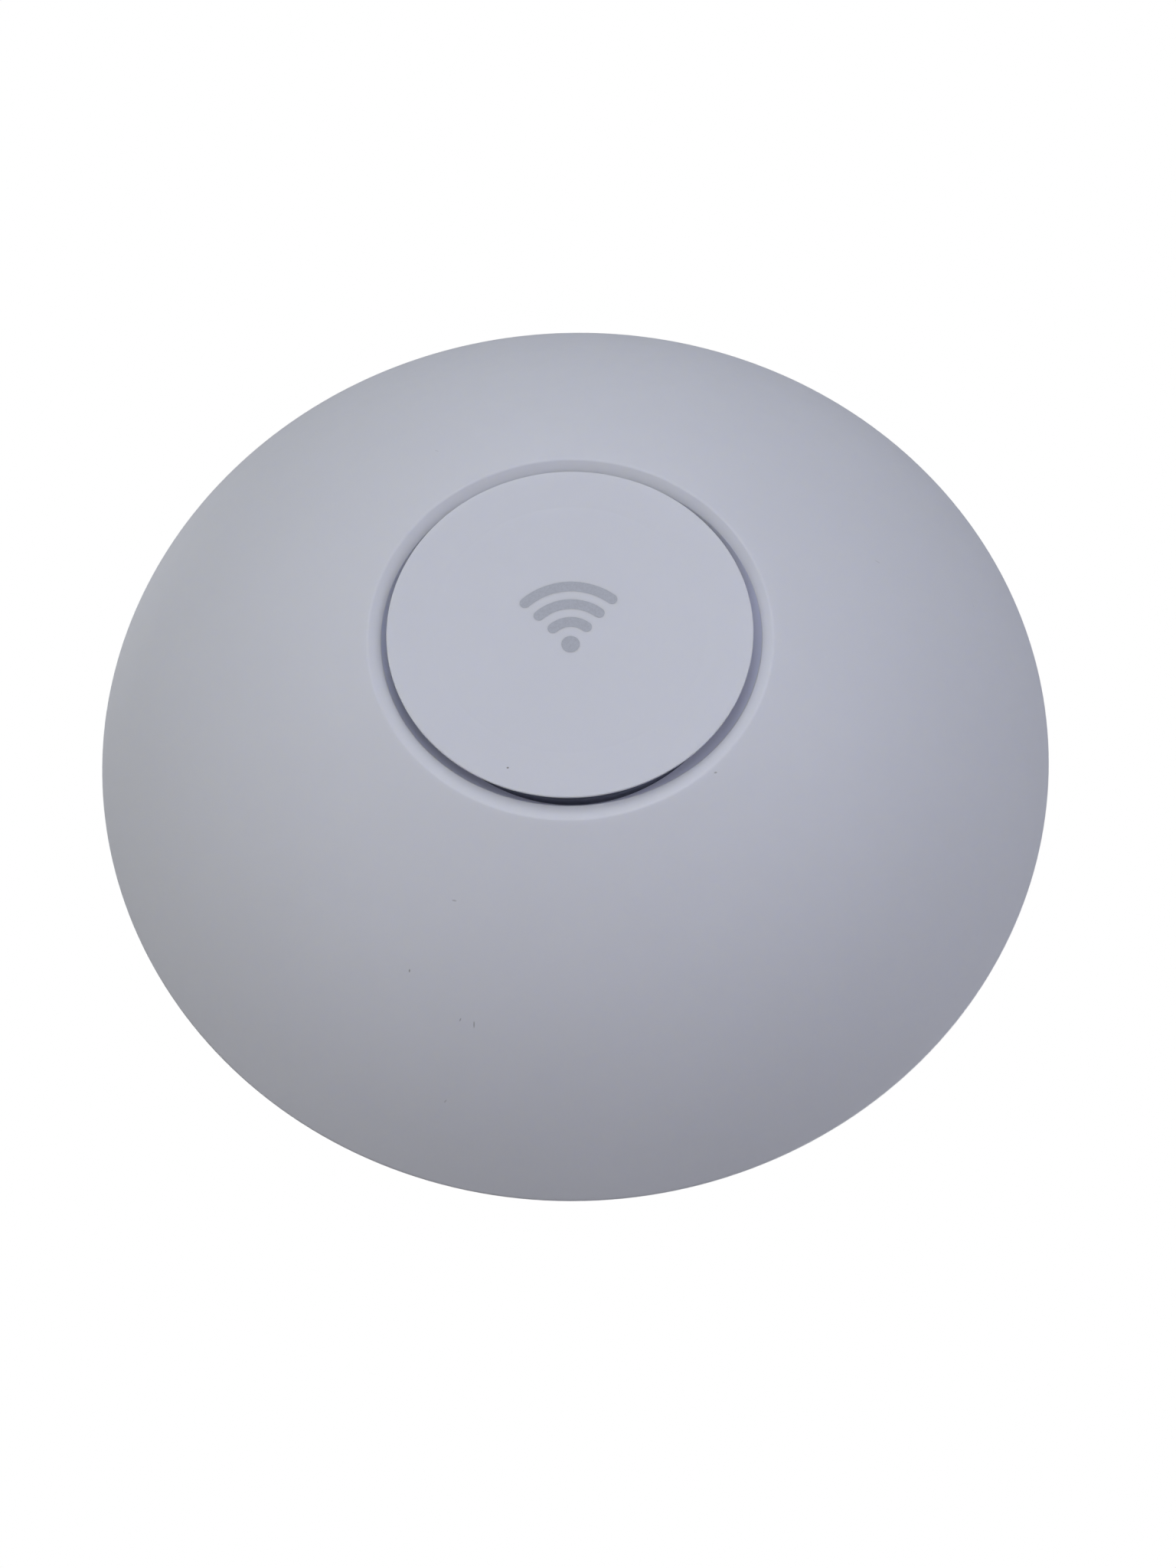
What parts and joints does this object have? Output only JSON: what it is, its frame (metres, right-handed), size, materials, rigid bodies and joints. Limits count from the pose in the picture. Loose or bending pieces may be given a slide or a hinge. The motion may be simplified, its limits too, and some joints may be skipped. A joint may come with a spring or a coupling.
{
  "type": "ceiling access point",
  "caption": "Round ceiling access point: shallow matt white dome with a proud centre disc over a recess, twist-on mounting bracket and a network port bay in the back.",
  "frame": {"origin": "centre of the mounting bracket's flat back face, on the ceiling plane", "axes": "+Z out of the ceiling along the dome's axis, towards the centre disc; -Y towards the port bay and its network socket; +X to the right seen from the -Y side with the dome up"},
  "size_m": [0.206, 0.206, 0.046],
  "materials": {
    "galvanised_steel": "zinc-plated, satin",
    "spring_steel": "spring steel, satin",
    "base_plastic": "moulded, fine spark texture",
    "label_film": "blank satin film",
    "white_plastic": "moulded white, matt",
    "disc_plastic": "moulded white, satin matt",
    "light_guide": "frosted translucent light guide, unlit",
    "white_board": "white solder mask",
    "led_package": "phosphor-filled package",
    "flex_film": "polyimide film",
    "socket_plastic": "nylon",
    "deck_plastic": "moulded black",
    "antenna_metal": "tin-plated",
    "plated_brass": "gold-plated",
    "coax_jacket": "extruded jacket",
    "screw_steel": "zinc-plated",
    "case_screw_steel": "zinc-plated",
    "heat_plate_metal": "bead-blasted",
    "circuit_board": "green solder mask",
    "shield_metal": "tin-plated",
    "chip_black": "moulded epoxy",
    "thermal_pad": "silicone pad",
    "jack_metal": "nickel-plated",
    "jack_plastic": "glass-filled nylon",
    "plated_contacts": "gold-plated",
    "ferrite": "ferrite and tape",
    "capacitor_can": "bare can top, dark sleeve",
    "switch_metal": "stamped",
    "button_plastic": "moulded black"
  },
  "bodies": {
    "bracket": {"mounting_bracket": "galvanised_steel"},
    "access_point": {"antenna_cables": "coax_jacket", "antenna_deck": "deck_plastic", "antennas_2g": "antenna_metal", "antennas_5g": "antenna_metal", "board_screws": "screw_steel", "capacitors": "capacitor_can", "case_screws": "case_screw_steel", "centre_disc": "disc_plastic", "coax_sockets": "plated_brass", "deck_screws": "screw_steel", "dome_cover": "white_plastic", "ethernet_jack": "jack_metal", "heat_plate": "heat_plate_metal", "jack_contacts": "plated_contacts", "jack_insert": "jack_plastic", "led_board": "white_board", "led_cable": "flex_film", "led_socket": "socket_plastic", "leds": "led_package", "light_ring": "light_guide", "main_board": "circuit_board", "memory_chips": "chip_black", "network_transformer": "chip_black", "power_inductor": "ferrite", "power_transformer": "ferrite", "processor": "chip_black", "radio_chips": "chip_black", "rating_label": "label_film", "rear_base": "base_plastic", "reset_switch": "switch_metal", "shield_processor": "shield_metal", "shield_radio_2g": "shield_metal", "shield_radio_5g": "shield_metal", "thermal_pads": "thermal_pad"},
    "latch": {"lock_latch": "spring_steel"},
    "reset": {"reset_button": "button_plastic"}
  },
  "joints": [
    {"name": "twist", "type": "hinge", "parent": "bracket", "child": "access_point", "pos_m": [0, 0, 0], "axis": [0, 0, 1], "range_deg": [0, 20]},
    {"name": "latch_flex", "type": "hinge", "parent": "bracket", "child": "latch", "pos_m": [0.0545, -0.02, 0.001], "axis": [0, 0, 1], "range_deg": [0, 5]},
    {"name": "reset_press", "type": "slide", "parent": "access_point", "child": "reset", "axis": [0, 1, 0], "range_m": [0, 0.0005], "stiffness_N_per_m": 1500}
  ],
  "couplings": [
    {"joint": "latch_flex", "follows": "twist", "ratio": 0.25}
  ]
}
